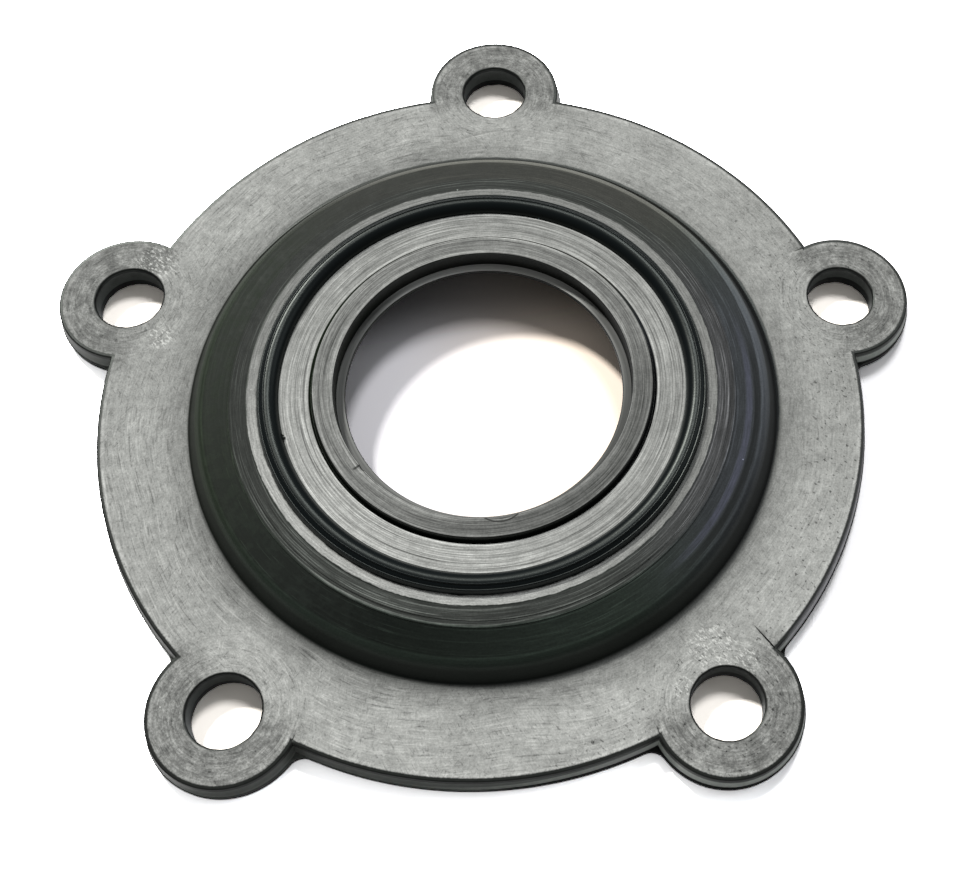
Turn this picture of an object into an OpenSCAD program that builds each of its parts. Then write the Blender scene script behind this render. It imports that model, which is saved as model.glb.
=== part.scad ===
// Five-lobed moulded rubber gasket for the bolted flange of a water heater element.
// The origin is on the axis of the bolt circle, in the plane of the flange's underside. +Z points
// to the raised side, and one lobe lies on +Y. All sizes are in millimetres.

/* [Flange] */
// Diameter of the round flange, without its lobes
flange_d = 101; // [96:0.5:110]
// Thickness of the flange and the lobes
flange_t = 4; // [3:0.1:6]
// Height of the mould parting line above the underside
parting_z = 1.5; // [1:0.1:2.5]
// How far the flash along the parting line stands out
flash_w = 0.12; // [0.05:0.01:0.3]
// Thickness of the flash
flash_t = 0.16; // [0.1:0.02:0.3]

/* [Bolt lobes] */
// Number of bolt lobes
lobe_count = 5; // [3:1:6]
// Diameter of the bolt circle
bolt_circle_d = 102; // [98:0.5:108]
// Diameter of each bolt hole
bolt_hole_d = 9; // [6:0.1:10]
// Outer diameter of each lobe
lobe_d = 19.2; // [16:0.1:22]
// Radius of the inside corner between a lobe and the flange, below the parting line
lobe_fillet_r = 2; // [1:0.1:4]

/* [Raised centre] */
// Diameter of the centre where it meets the flange
foot_d = 77; // [74:0.5:82]
// Diameter at the rounded shoulder of the wall
shoulder_d = 73.6; // [72:0.2:76]
// Height of the shoulder above the flange
shoulder_h = 2.8; // [2:0.1:3.4]
// Rounding of the shoulder
shoulder_r = 2; // [1:0.1:2.5]
// Height of the flat seat above the flange
seat_h = 4.8; // [4.5:0.1:6]
// Outer diameter of the flat seat
seat_outer_d = 60.6; // [58:0.2:62]
// Inner diameter of the flat seat, beside the inner ring
seat_inner_d = 44.8; // [44.4:0.1:46]

/* [Sealing bead and inner ring] */
// Diameter of the circle along the top of the bead
bead_circle_d = 55.2; // [53:0.2:57]
// Width of the half-round bead
bead_w = 2.7; // [2:0.1:3]
// Height of the bead above the seat
bead_h = 1.2; // [0.8:0.1:1.5]
// Outer diameter of the inner ring
ring_outer_d = 43.7; // [43:0.1:44]
// Inner diameter of the inner ring
ring_inner_d = 38.4; // [38:0.1:40]
// Height of the inner ring above the seat
ring_h = 0.8; // [0.5:0.1:1.5]
// Depth of the narrow groove between the inner ring and the seat, below the seat
groove_depth = 0.5; // [0.2:0.1:1]

/* [Centre hole and underside] */
// Diameter of the centre hole, through the thin lip
centre_hole_d = 36; // [34:0.1:37]
// Depth of the lip's upper face below the top of the inner ring
lip_drop = 2.6; // [1.5:0.1:3]
// Thickness of the lip
lip_t = 0.6; // [0.4:0.1:1.5]
// Height of the recess from the underside to its flat ceiling
recess_h = 5; // [4.5:0.1:5.4]
// Diameter of the recess at the underside
recess_mouth_d = 69; // [67:0.5:71]
// Diameter of the flat ceiling of the recess
recess_ceiling_d = 54; // [50:0.5:58]

/* [Hidden] */
$fn = 180;

// Sizes and heights used by more than one module
flange_r = flange_d / 2;
lobe_r = lobe_d / 2;
bolt_circle_r = bolt_circle_d / 2;
seat_z = flange_t + seat_h;
ring_z = seat_z + ring_h;
lip_z = ring_z - lip_drop;
lip_low_z = lip_z - lip_t;
lobe_step = 360 / lobe_count;
first_lobe = 90;

// Edge roundings
ring_edge_r = 0.15;
foot_fillet_r = 0.7;
recess_edge_r = 1.2;

// The recess has a steep wall this high, which leans in by the draft
recess_wall_h = 2.8;
recess_draft = 0.9;

// Two shallow bands step down from the seat to the smooth wall
band_drop = 0.1;
band_1_r = 32;
band_1_z = flange_t + 4.3;
band_2_r = 32.8;
band_2_z = flange_t + 3.95;

// Two fine witness ridges run along the bead, on its outer half
witness_r = 0.13;
witness_angles = [75, 42];

// Points of an arc about [x, z] from angle a0 to angle a1
function arc(x, z, r, a0, a1, steps = 6) =
    [for (i = [0 : steps]) let (a = a0 + (a1 - a0) * i / steps) [x + r * cos(a), z + r * sin(a)]];

// Direction in degrees from point p to point q
function heading(p, q) = atan2(q[1] - p[1], q[0] - p[0]);

// Points that round the corner q on the way from p to s, turning about a circle of radius r
function rounded(p, q, s, r, steps = 6) =
    let (a = heading(p, q))
    let (b = heading(q, s))
    let (turn = (b - a + 540) % 360 - 180)
    let (side = turn > 0 ? 90 : -90)
    let (cut = r * tan(abs(turn) / 2))
    let (start = [q[0] - cut * cos(a), q[1] - cut * sin(a)])
    arc(start[0] + r * cos(a + side), start[1] + r * sin(a + side), r, a - side, a - side + turn, steps);

// The outline of the raised centre from the foot up to the inner ring, down the hole past the lip and
// along the recess, as one closed section to the right of the axis
function centre_section() =
    let (foot = [foot_d / 2, flange_t])
    let (shoulder = [shoulder_d / 2, flange_t + shoulder_h])
    let (band_2_low = [band_2_r, band_2_z - band_drop])
    let (seat_edge = [seat_outer_d / 2, seat_z])
    let (ring_foot = [(seat_inner_d + ring_outer_d) / 4, seat_z - groove_depth])
    let (ring_outer = [ring_outer_d / 2, ring_z])
    let (ring_inner = [ring_inner_d / 2, ring_z])
    let (lip_root = [ring_inner_d / 2, lip_z])
    let (lip_top = [centre_hole_d / 2, lip_z])
    let (lip_low = [centre_hole_d / 2, lip_low_z])
    let (throat_top = [ring_inner_d / 2, lip_low_z])
    let (throat_low = [ring_inner_d / 2, recess_h])
    let (ceiling = [recess_ceiling_d / 2, recess_h])
    let (knee = [recess_mouth_d / 2 - recess_draft, recess_wall_h])
    let (mouth = [recess_mouth_d / 2, 0])
    let (outside = [foot_d / 2 + 2 * foot_fillet_r, flange_t])
    concat(
        [[outside[0], 0]],
        [outside],
        rounded(outside, foot, shoulder, foot_fillet_r),
        rounded(foot, shoulder, band_2_low, shoulder_r, 10),
        [band_2_low],
        [[band_2_r, band_2_z]],
        [[band_1_r, band_1_z - band_drop]],
        [[band_1_r, band_1_z]],
        [seat_edge],
        [[seat_inner_d / 2, seat_z]],
        [ring_foot],
        rounded(ring_foot, ring_outer, ring_inner, ring_edge_r, 3),
        rounded(ring_outer, ring_inner, lip_root, ring_edge_r, 3),
        [lip_root],
        rounded(lip_root, lip_top, lip_low, ring_edge_r, 3),
        [lip_low],
        [throat_top],
        [throat_low],
        rounded(throat_low, ceiling, knee, recess_edge_r, 4),
        rounded(ceiling, knee, mouth, recess_edge_r, 4),
        [mouth]
    );

// The outline of the flange and its lobes, grown outwards by the amount given. The inside corners
// are filleted below the parting line and sharp above it.
module flange_outline(grow, filleted) {
    circle(r = flange_r + grow);
    for (i = [0 : lobe_count - 1])
        rotate(first_lobe + i * lobe_step) {
            translate([bolt_circle_r, 0])
                circle(r = lobe_r + grow);
            if (filleted) {
                lobe_fillet(grow);
                mirror([0, 1])
                    lobe_fillet(grow);
            }
        }
}

// The fillet between the flange and one side of a lobe. The three sides of the triangle from the
// axis to the lobe's centre and the fillet's centre give its place.
module lobe_fillet(grow) {
    to_flange = flange_r + lobe_fillet_r;
    to_lobe = lobe_r + lobe_fillet_r;
    cosine = (bolt_circle_r ^ 2 + to_flange ^ 2 - to_lobe ^ 2) / (2 * bolt_circle_r * to_flange);
    side = acos(cosine);
    centre = [to_flange * cos(side), to_flange * sin(side)];
    difference() {
        polygon([[0, 0], [bolt_circle_r, 0], centre]);
        translate(centre)
            circle(r = lobe_fillet_r - grow);
    }
}

// One layer of the flange: the outline without the raised centre and the bolt holes
module flange_layer(from_z, to_z, grow, filleted) {
    translate([0, 0, from_z])
        linear_extrude(to_z - from_z)
            difference() {
                flange_outline(grow, filleted);
                circle(d = foot_d);
                for (i = [0 : lobe_count - 1])
                    rotate(first_lobe + i * lobe_step)
                        translate([bolt_circle_r, 0])
                            circle(d = bolt_hole_d);
            }
}

// The flange with its lobes: a filleted lower layer, the flash of the parting line, and the upper
// layer with its sharp corners
module flange() {
    flash_low = parting_z - flash_t / 2;
    flash_high = parting_z + flash_t / 2;
    flange_layer(0, flash_low, 0, true);
    flange_layer(flash_low, flash_high, flash_w, true);
    flange_layer(flash_high, flange_t, 0, false);
}

// The half-round bead with its two witness ridges, sunk a little into the seat
module bead() {
    half = bead_w / 2;
    radius = (half ^ 2 + bead_h ^ 2) / (2 * bead_h);
    base_z = seat_z + bead_h - radius;
    rotate_extrude()
        translate([bead_circle_d / 2, base_z])
            circle(r = radius, $fn = 48);
    for (a = witness_angles)
        rotate_extrude()
            translate([bead_circle_d / 2 + radius * cos(a), base_z + radius * sin(a)])
                circle(r = witness_r, $fn = 16);
}

module gasket() {
    color([0.17, 0.18, 0.17]) {
        flange();
        rotate_extrude()
            polygon(centre_section());
        bead();
    }
}

gasket();
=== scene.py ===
"""Looks of the five-lobed rubber gasket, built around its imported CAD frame.

Sizes in this script are in millimetres unless a name says otherwise, in the frame of the CAD part:
the origin is on the axis in the plane of the underside, +Z points to the raised side, and one bolt
lobe lies on +Y. A mesh is scaled to metres when it is made.
"""

import math
import random
from functools import cache, partialmethod, reduce

import bpy
import numpy as np
from mathutils import Matrix, Vector, noise
from mathutils.geometry import delaunay_2d_cdt


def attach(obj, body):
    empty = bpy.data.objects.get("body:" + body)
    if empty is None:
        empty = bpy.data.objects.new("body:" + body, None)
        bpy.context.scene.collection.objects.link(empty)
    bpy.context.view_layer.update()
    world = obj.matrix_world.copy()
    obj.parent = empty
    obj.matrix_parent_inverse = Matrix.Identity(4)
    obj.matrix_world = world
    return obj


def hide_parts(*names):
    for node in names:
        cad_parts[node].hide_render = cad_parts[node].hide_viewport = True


MM = 0.001
DEG = math.pi / 180

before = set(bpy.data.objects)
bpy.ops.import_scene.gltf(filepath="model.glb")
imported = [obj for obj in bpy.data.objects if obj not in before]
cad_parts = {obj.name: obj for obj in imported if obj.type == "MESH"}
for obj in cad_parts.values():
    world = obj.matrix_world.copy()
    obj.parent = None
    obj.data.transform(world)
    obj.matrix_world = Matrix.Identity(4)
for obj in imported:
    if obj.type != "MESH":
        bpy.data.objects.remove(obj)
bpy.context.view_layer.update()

# The flange and its lobes, as in the CAD part
FLANGE_R = 50.5
FLANGE_T = 4.0
PARTING_Z = 1.5
FLASH_W = 0.12
LOBES = 5
BOLT_CIRCLE_R = 51.0
HOLE_R = 4.5
LOBE_R = 9.6
FILLET_R = 2.0
FIRST_LOBE = 90.0
LOBE_STEP = 360.0 / LOBES

# The raised centre, as in the CAD part. A corner of its section is a radius and a height.
FOOT_R = 38.5
SHOULDER = (36.8, 6.8)
BAND_2 = (32.8, 7.95)
BAND_1 = (32.0, 8.3)
BAND_DROP = 0.1
SEAT_EDGE = (30.3, 8.8)
BEAD_R = 27.6
BEAD_W = 2.7
BEAD_H = 1.2
WITNESS_R = 0.13
WITNESS_ANGLES = (75.0, 42.0)
SEAT_INNER = (22.4, 8.8)
GROOVE = (22.125, 8.3)
RING_OUTER = (21.85, 9.6)
RING_INNER = (19.2, 9.6)
LIP_ROOT = (19.2, 7.0)
LIP_TOP = (18.0, 7.0)
LIP_LOW = (18.0, 6.4)
THROAT_TOP = (19.2, 6.4)
THROAT_LOW = (19.2, 5.0)
CEILING = (27.0, 5.0)
KNEE = (33.6, 2.8)
MOUTH = (34.5, 0.0)

# Worn and eased edges, which the CAD part doesn't have
FACE_Z = FLANGE_T - 0.03  # height of the flat top face
FACE_INSET = 0.50  # distance from the outline to the edge of that face
HOLE_INSET = 0.35  # the same from a bolt hole
FACE_HOLE_R = HOLE_R + HOLE_INSET
CENTRE_FACE_R = 40.4  # where the flat top face meets the raised centre's rings
BAND_LEAN = 0.03  # how far the step of a band leans in
LOW_FACE_INSET = 1.0  # distance from the mouth of the recess to the flat underside

# Density of the mesh
TURNS = 540  # points round each ring of the raised centre
HOLE_POINTS = 96  # points round each bolt hole
TIP_POINTS = 22  # points of the outline from the tip of a lobe to its corner
CORNER_POINTS = 12  # points of a filleted or sharp corner
RIM_POINTS = 26  # points from a corner to the middle between two lobes
BEAD_POINTS = 30  # points across the bead
TOP_STEPS = 8  # steps in a quarter turn of a rounding that the photo shows
LOW_STEPS = 4  # the same further in and on the underside
MAX_SPAN = 0.9  # longest step along the section
GUARD = 0.12  # distance of a support ring from a rounded edge
LONG_STEP = 3.5  # a step that is longer than this many guards gets support rings
MAX_CUT = 0.48  # largest share of a side that a rounding takes
GRID = 0.95  # spacing of the points inside the flat faces
ROW_SHARE = 0.87  # spacing of their rows, as a share of GRID
SCATTER = 0.2  # how far each is moved at random, as a share of GRID
EDGE_GAP = 0.4  # their least distance from the edges of the face
MARK_GAP = 0.3  # their least distance from a crease or scratch
TINY = 1e-6


def polar(radius, angle):
    return np.array([radius * math.cos(angle), radius * math.sin(angle)])


def arc(centre, radius, start, end, count, last=False):
    """Points of a circle from one angle to another, with the last one or without it."""
    angles = [start + (end - start) * i / count for i in range(count + 1 if last else count)]
    return [(centre[0] + radius * math.cos(a), centre[1] + radius * math.sin(a)) for a in angles]


def rounded_path(corners, steps):
    """Points along corners (r, z, radius), each corner turned about a circle of its radius."""
    pts = []
    for i, (x, z, rad) in enumerate(corners):
        q = np.array([x, z])
        if i in (0, len(corners) - 1) or rad <= 0:
            pts.append(q)
            continue
        before, after = q - corners[i - 1][:2], corners[i + 1][:2] - q
        a, b = before / np.linalg.norm(before), after / np.linalg.norm(after)
        turn = math.atan2(a[0] * b[1] - a[1] * b[0], a @ b)
        cut = rad * math.tan(abs(turn) / 2)
        limit = MAX_CUT * min(np.linalg.norm(before), np.linalg.norm(after))
        if cut > limit:
            rad *= limit / cut
            cut = limit
        left = np.array([-a[1], a[0]]) * (1 if turn > 0 else -1)
        centre = q - a * cut + left * rad
        k = max(2, int(math.ceil(abs(turn) / (90 * DEG) * steps)))
        spoke = -left * rad
        for j in range(k + 1):
            c, s = math.cos(turn * j / k), math.sin(turn * j / k)
            turned = np.array([spoke[0] * c - spoke[1] * s, spoke[0] * s + spoke[1] * c])
            pts.append(centre + turned)
    return pts


def with_supports(pts):
    """The path with a support point near both ends of each long step, and long steps divided."""
    out = [pts[0]]
    for a, b in zip(pts[:-1], pts[1:]):
        length = np.linalg.norm(b - a)
        if length < TINY:
            continue
        if length > LONG_STEP * GUARD:
            inner = length - 2 * GUARD
            parts = max(1, int(math.ceil(inner / MAX_SPAN)))
            cuts = [GUARD + inner * j / parts for j in range(parts + 1)]
            out += [a + (b - a) * c / length for c in cuts]
        out.append(b)
    return out


class Builder:
    """Collects points and faces of one mesh."""

    def __init__(self):
        self.points = []
        self.faces = []

    def add(self, pts):
        start = len(self.points)
        self.points.extend([tuple(map(float, p)) for p in pts])
        return list(range(start, start + len(pts)))

    def skin(self, loops, flipped=False):
        """Quads between each closed loop and the next one, and the first and the last loop."""
        for a, b in zip(loops[:-1], loops[1:]):
            if flipped:
                a, b = b, a
            for i in range(len(a)):
                j = (i + 1) % len(a)
                self.faces.append((a[i], a[j], b[j], b[i]))
        return loops[0], loops[-1]

    def mesh(self, name):
        me = bpy.data.meshes.new(name)
        pts = np.array(self.points) * MM
        me.from_pydata(pts.tolist(), [], self.faces)
        me.validate()
        me.update()
        return me


def new_object(name, data):
    ob = bpy.data.objects.new(name, data)
    bpy.context.scene.collection.objects.link(ob)
    return ob


def smooth_noise(x, y, z, scale):
    return noise.noise(Vector((x * scale, y * scale, z)))


def lobe_angle(k):
    return math.radians(FIRST_LOBE + k * LOBE_STEP)


LOBE_CENTRES = [polar(BOLT_CIRCLE_R, lobe_angle(k)) for k in range(LOBES)]


def corner_angle(to_axis, to_lobe):
    """The angle at the axis from a lobe's centre to a point at these distances from the two."""
    c = BOLT_CIRCLE_R
    return math.acos((to_axis * to_axis + c * c - to_lobe * to_lobe) / (2 * c * to_axis))


def outline(grow, filleted):
    """The flange's outline with its lobes, counterclockwise, grown outwards by grow. The inside
    corners are filleted or sharp; both forms have the same number of points, in step."""
    axis, lobe = (0.0, 0.0), (BOLT_CIRCLE_R, 0.0)
    flange_r, lobe_r = FLANGE_R + grow, LOBE_R + grow
    # directions of the fillet's centre and of the sharp corner, from the axis and from the lobe
    fillet_angle = corner_angle(FLANGE_R + FILLET_R, LOBE_R + FILLET_R)
    fillet = polar(FLANGE_R + FILLET_R, fillet_angle)
    lobe_fillet_angle = math.atan2(fillet[1], fillet[0] - lobe[0])
    sharp_angle = corner_angle(flange_r, lobe_r)
    sharp = polar(flange_r, sharp_angle)
    lobe_sharp_angle = math.atan2(sharp[1], sharp[0] - lobe[0])

    # from the lobe's tip round the corner to the middle between two lobes
    upper = arc(lobe, lobe_r, 0.0, lobe_fillet_angle, TIP_POINTS)
    if filleted:
        start = math.atan2(-math.sin(lobe_fillet_angle), -math.cos(lobe_fillet_angle))
        end = math.atan2(-math.sin(fillet_angle), -math.cos(fillet_angle))
        while end - start > math.pi:
            end -= 2 * math.pi
        while start - end > math.pi:
            end += 2 * math.pi
        upper += arc(fillet, FILLET_R - grow, start, end, CORNER_POINTS)
    else:
        half = CORNER_POINTS // 2
        upper += arc(lobe, lobe_r, lobe_fillet_angle, lobe_sharp_angle, half)
        upper += arc(axis, flange_r, sharp_angle, fillet_angle, half)
    upper += arc(axis, flange_r, fillet_angle, math.radians(LOBE_STEP / 2), RIM_POINTS, True)

    upper = np.array(upper)
    lower = upper[1:-1][::-1] * [1, -1]
    period = np.vstack([lower, upper])
    out = []
    for k in range(LOBES):
        c, s = math.cos(lobe_angle(k)), math.sin(lobe_angle(k))
        out.append(period @ np.array([[c, -s], [s, c]]).T)
    return np.vstack(out)


# A crease runs on from a sharp corner beside a lobe: (lobe, side, direction, length, depth)
CREASES = [
    (4, 1, 201.0, 2.5, 0.10),
    (3, 1, 129.0, 5.2, 0.16),
    (3, -1, 108.0, 2.8, 0.09),
    (2, 1, 67.0, 1.6, 0.09),
]
CREASE_START = 0.25
CREASE_STEP = 0.28
CREASE_MIN_POINTS = 8
# Shallow scratches in the top face: points of a curve through three places, and its depth
SCRATCHES = [
    ((-6.3, 41.3), (-1.7, 43.4), (2.8, 43.7), 0.05),
    ((-3.2, 40.9), (-1.4, 42.3), (-0.6, 42.9), 0.03),
]
SCRATCH_POINTS = 24
MARK_HALF_WIDTH = 0.10


def face_corner(k, side):
    """The sharp corner of the top face on one side of lobe k."""
    face_r = FLANGE_R - FACE_INSET
    return polar(face_r, lobe_angle(k) + side * corner_angle(face_r, LOBE_R - FACE_INSET))


def mark_lines():
    """Each crease or scratch as three lines side by side: its two edges and its bottom."""
    curves = []
    for k, side, direction, length, depth in CREASES:
        count = max(CREASE_MIN_POINTS, int(length / CREASE_STEP))
        t = np.linspace(CREASE_START, length, count)[:, None]
        xy = face_corner(k, side) + polar(1.0, direction * DEG) * t
        curves.append((xy, depth * (1 - t[:, 0] / length) ** 0.7))
    for a, b, c, depth in SCRATCHES:
        a, b, c = np.array(a), np.array(b), np.array(c)
        t = np.linspace(0, 1, SCRATCH_POINTS)[:, None]
        xy = a * (1 - t) * (1 - 2 * t) + b * 4 * t * (1 - t) + c * t * (2 * t - 1)
        curves.append((xy, depth * np.sin(t[:, 0] * math.pi) ** 0.5))
    lines = []
    for xy, depth in curves:
        along = np.gradient(xy, axis=0)
        across = np.c_[-along[:, 1], along[:, 0]] / np.hypot(*along.T)[:, None]
        for shift, share in ((-1, 0.0), (0, 1.0), (1, 0.0)):
            lines.append((xy + across * shift * MARK_HALF_WIDTH, -depth * share))
    return lines


def point_in_loop(p, loop):
    x, y = p[0], p[1]
    a, c = loop, np.roll(loop, -1, axis=0)
    cross = (a[:, 1] > y) != (c[:, 1] > y)
    with np.errstate(divide="ignore", invalid="ignore"):
        xi = (c[:, 0] - a[:, 0]) * (y - a[:, 1]) / (c[:, 1] - a[:, 1]) + a[:, 0]
    return bool(np.count_nonzero(cross & (x < xi)) % 2)


def hole_distance(x, y):
    """The distance to the centre of the nearest bolt hole."""
    return min(math.hypot(x - c[0], y - c[1]) for c in LOBE_CENTRES)


def free_points(inner_r, taken, seed):
    """Scattered points inside a flat face, off its edges and off the marks at the taken places."""
    rnd = random.Random(seed)
    reach = BOLT_CIRCLE_R + LOBE_R
    free = []
    for row in range(int(2 * reach / (GRID * ROW_SHARE)) + 1):
        row_y = -reach + row * GRID * ROW_SHARE
        for col in range(int(2 * reach / GRID) + 1):
            x = -reach + (col + 0.5 * (row % 2)) * GRID + rnd.uniform(-SCATTER, SCATTER) * GRID
            y = row_y + rnd.uniform(-SCATTER, SCATTER) * GRID
            r, d = math.hypot(x, y), hole_distance(x, y)
            if r < inner_r + EDGE_GAP or d < FACE_HOLE_R + EDGE_GAP:
                continue
            if r >= FLANGE_R - FACE_INSET - EDGE_GAP and d >= LOBE_R - FACE_INSET - EDGE_GAP:
                continue
            if len(taken) and np.min(np.hypot(taken[:, 0] - x, taken[:, 1] - y)) < MARK_GAP:
                continue
            free.append((x, y))
    return free


def flat_face(b, outer, holes, inner, height, lines, seed, up):
    """Triangles over a flat face between the outer loop, the bolt holes and the inner loop.
    Loops are lists of indices into the builder; height(x, y) gives the z of a free point."""
    verts, edges, ids = [], [], []
    for loop in [outer, inner, *holes]:
        s = len(verts)
        verts += [Vector(b.points[i][:2]) for i in loop]
        ids += loop
        edges += [(s + i, s + (i + 1) % len(loop)) for i in range(len(loop))]
    for xy, dz in lines:
        s = len(verts)
        zs = [height(*p) + d for p, d in zip(xy, dz)]
        verts += [Vector(p) for p in xy]
        ids += b.add(np.c_[xy, zs])
        edges += [(s + i, s + i + 1) for i in range(len(xy) - 1)]
    taken = np.vstack([xy for xy, _ in lines]) if lines else np.zeros((0, 2))
    outer_xy = np.array([b.points[i][:2] for i in outer])
    inner_r = np.hypot(*np.array([b.points[i][:2] for i in inner]).T).max()
    free = free_points(inner_r, taken, seed)
    verts += [Vector(p) for p in free]
    ids += b.add([(x, y, height(x, y)) for x, y in free])

    vs, _, fs, orig, _, _ = delaunay_2d_cdt(verts, edges, [], 0, TINY, True)
    back = []
    for v, o in zip(vs, orig):
        back += [ids[o[0]]] if o else b.add([(v[0], v[1], height(v[0], v[1]))])
    # a triangle across the centre or a hole lies inside the edge's chords
    inner_limit = inner_r * math.cos(math.pi / TURNS) - 1e-4
    hole_limit = FACE_HOLE_R * 0.9995
    for f in fs:
        c = sum((vs[i] for i in f), Vector((0, 0))) / len(f)
        if c.length < inner_limit or hole_distance(c[0], c[1]) < hole_limit:
            continue
        if not point_in_loop(c, outer_xy):
            continue
        tri = [back[i] for i in f]
        b.faces.append(tuple(tri if up else tri[::-1]))


# Waves of the flange's top: height, seed and scale, and where and over what width they start
WAVES = [(0.05, 3.1, 0.07), (0.018, 7.7, 0.35)]
WAVES_FROM = 39.6
WAVES_GROW = 2.0
# The sides follow them above this height
FOLLOW_Z = 3.0


def flange_height(x, y):
    share = min(1.0, max(0.0, (math.hypot(x, y) - WAVES_FROM) / WAVES_GROW))
    return FACE_Z + share * sum(h * smooth_noise(x, y, seed, scale) for h, seed, scale in WAVES)


def side_height(x, y, z):
    """The height of a point on the side of the flange or of a hole, with the top's waves."""
    if z <= FOLLOW_Z:
        return z
    return z + (flange_height(x, y) - FACE_Z) * (z - FOLLOW_Z) / (FLANGE_T - FOLLOW_Z)


# Places across a witness ridge, as shares of half its width
WITNESS_STEPS = (-1.25, -1.0, -0.7, -0.35, 0.0, 0.35, 0.7, 1.0, 1.25)
WITNESS_GAP = 1.5


def section():
    """The section of the raised centre from the flange's top round to the underside."""
    bead_radius = ((BEAD_W / 2) ** 2 + BEAD_H ** 2) / (2 * BEAD_H)
    base_z = SEAT_EDGE[1] + BEAD_H - bead_radius
    low = math.asin((SEAT_EDGE[1] - base_z) / bead_radius)
    half = bead_radius * math.cos(low)

    # corners with their rounding, up to the bead and on from it
    head = [
        (CENTRE_FACE_R, FACE_Z, 0.0),
        (FOOT_R, FACE_Z, 0.7),
        (*SHOULDER, 2.0),
        (BAND_2[0], BAND_2[1] - BAND_DROP, 0.04),
        (BAND_2[0] - BAND_LEAN, BAND_2[1], 0.04),
        (BAND_1[0], BAND_1[1] - BAND_DROP, 0.04),
        (BAND_1[0] - BAND_LEAN, BAND_1[1], 0.04),
        (*SEAT_EDGE, 0.10),
        (BEAD_R + half, SEAT_EDGE[1], 0.0),
    ]
    tail = [
        (BEAD_R - half, SEAT_EDGE[1], 0.0),
        (*SEAT_INNER, 0.07),
        (*GROOVE, 0.05),
        (*RING_OUTER, 0.15),
        (*RING_INNER, 0.15),
        (*LIP_ROOT, 0.12),
        (*LIP_TOP, 0.15),
        (*LIP_LOW, 0.08),
        (*THROAT_TOP, 0.08),
        (*THROAT_LOW, 0.10),
        (*CEILING, 1.2),
        (*KNEE, 1.2),
        (*MOUTH, 0.25),
        (MOUTH[0] + LOW_FACE_INSET, 0.0, 0.0),
    ]

    # the bead as angles and heights above its circle, denser over the witness ridges
    marks = [a * DEG for a in WITNESS_ANGLES]
    ridge = math.asin(WITNESS_R / bead_radius)
    angles = np.linspace(low, math.pi - low, BEAD_POINTS)[1:-1]
    samples = [(a, 0.0) for a in angles if all(abs(a - m) > ridge * WITNESS_GAP for m in marks)]
    for m in marks:
        samples += [(m + s * ridge, WITNESS_R * math.sqrt(max(0.0, 1 - s * s)))
                    for s in WITNESS_STEPS]
    bead = [(BEAD_R + (bead_radius + h) * math.cos(a), base_z + (bead_radius + h) * math.sin(a))
            for a, h in sorted(samples)]
    return (with_supports(rounded_path(head, TOP_STEPS)) + bead
            + with_supports(rounded_path(tail, LOW_STEPS)))


# Nicks in the inner edge of the ring: angle, half width in degrees and depth
RING_NICKS = [(-81.5, 7.0, 0.30), (-139.9, 2.0, 0.25)]
RING_NICK_REACH = 0.75
RING_NICK_LEAN = 0.3
RING_TOP_Z = 9.3
# A nick in the inner foot of the bead
BEAD_NICK = (-162.8, 1.3, 0.40)
BEAD_NICK_REACH = 0.3
BEAD_NICK_Z = 9.1
# Waves of the raised centre, outside this radius and above this height
RIPPLE = 0.02
RIPPLE_FROM = (18.5, 3.9)
RIPPLE_STEP = 6


def nick(a, angle, half, depth):
    """The depth at the angles a of a nick that ends at half degrees from its own angle."""
    d = (a - angle * DEG + math.pi) % (2 * math.pi) - math.pi
    t = np.clip(1 - np.abs(d) / (half * DEG), 0, 1)
    return t * t * (3 - 2 * t) * depth


def ripple(a, r):
    """A slow wave round the axis: noise at every few points, smoothed between them."""
    s = RIPPLE_STEP
    wave = np.array([smooth_noise(math.cos(t), math.sin(t), r * 0.05, 2.2) for t in a[::s]])
    wave = np.repeat(wave, s)
    width = 2 * s + 1
    return np.convolve(np.r_[wave[-s:], wave, wave[:s]], np.ones(width) / width, mode="valid")


def centre_rings(b, path):
    """The revolved section, with the small nicks that the photographed part has."""
    a = np.arange(TURNS) * 2 * math.pi / TURNS
    loops = []
    for r, z in path:
        rr = np.full(TURNS, r)
        zz = np.full(TURNS, z)
        from_edge = abs(r - RING_INNER[0])
        if from_edge < RING_NICK_REACH and z > RING_TOP_Z:
            cut = sum(nick(a, *n) for n in RING_NICKS)
            near = max(0.0, 1 - from_edge / RING_NICK_REACH)
            zz = zz - cut * near
            rr = rr + RING_NICK_LEAN * cut * near
        if abs(r - (BEAD_R - BEAD_W / 2)) < BEAD_NICK_REACH and z < BEAD_NICK_Z:
            rr = rr - nick(a, *BEAD_NICK)
        if r > RIPPLE_FROM[0] and z > RIPPLE_FROM[1]:
            zz = zz + RIPPLE * ripple(a, r)
        loops.append(b.add(np.c_[rr * np.cos(a), rr * np.sin(a), zz]))
    return b.skin(loops)


# The side of the flange: how far each loop is grown, and its height
RIM_TOP = [(-FACE_INSET, FACE_Z), (-0.40, FLANGE_T - 0.04), (-0.33, FLANGE_T - 0.09),
           (-0.29, FLANGE_T - 0.20), (-0.27, FLANGE_T - 0.36), (-0.18, 2.9), (-0.08, 2.2),
           (-0.02, PARTING_Z + 0.16), (0.0, PARTING_Z + 0.09)]
RIM_LOW = [(0.06, PARTING_Z + 0.07), (FLASH_W, PARTING_Z + 0.04), (FLASH_W, PARTING_Z - 0.04),
           (0.05, PARTING_Z - 0.07), (0.0, PARTING_Z - 0.11), (0.0, 0.9), (0.0, 0.36),
           (-0.05, 0.16), (-0.16, 0.04), (-0.30, 0.0), (-0.45, 0.0)]
# How ragged the top edge and the flash are, and the rest of the side
RAGGED_EDGE = 0.018
RAGGED_SIDE = 0.006
TOP_EDGE_Z = 3.5
FLASH_REACH = 0.08


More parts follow.
